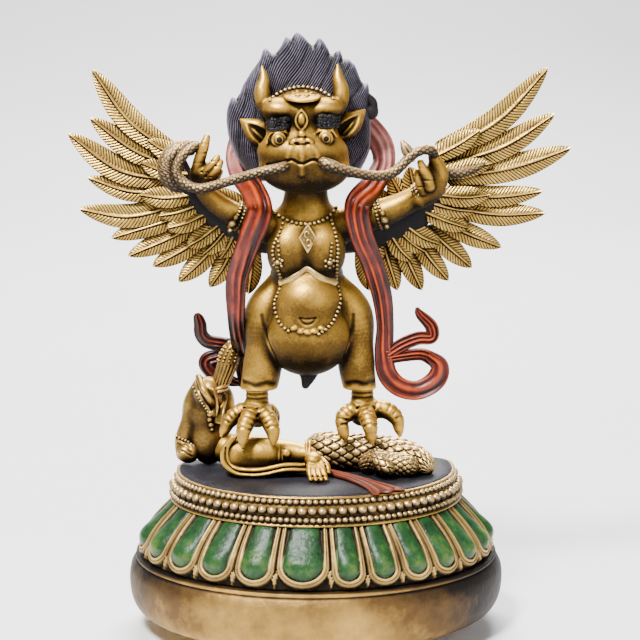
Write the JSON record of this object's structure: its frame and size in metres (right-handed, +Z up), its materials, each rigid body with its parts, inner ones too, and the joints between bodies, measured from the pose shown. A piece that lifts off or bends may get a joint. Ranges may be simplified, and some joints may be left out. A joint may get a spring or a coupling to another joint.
{
  "type": "garuda figure",
  "caption": "Standing bird-headed guardian with raised arms, spread feathered wings, snake and fluttering scarf, on a trampled serpent figure and a petalled lotus plinth.",
  "frame": {"origin": "middle of the plinth's underside, at the middle of its width and depth", "axes": "+Z up, +X the viewer's right, +Y away from the viewer"},
  "size_m": [0.2649, 0.1168, 0.3116],
  "materials": {
    "painted_plinth": "worn satin",
    "antiqued_gold": "antiqued satin",
    "wing_gold": "antiqued satin",
    "scarf_red": "worn satin",
    "snake_gold": "dull antiqued",
    "dark_gold": "antiqued satin"
  },
  "bodies": {
    "root": {"lotus_plinth": "painted_plinth", "garuda_figure": "antiqued_gold", "left_wing": "wing_gold", "right_wing": "wing_gold", "scarf": "scarf_red", "snake": "snake_gold", "trampled_naga": "dark_gold"}
  },
  "joints": []
}
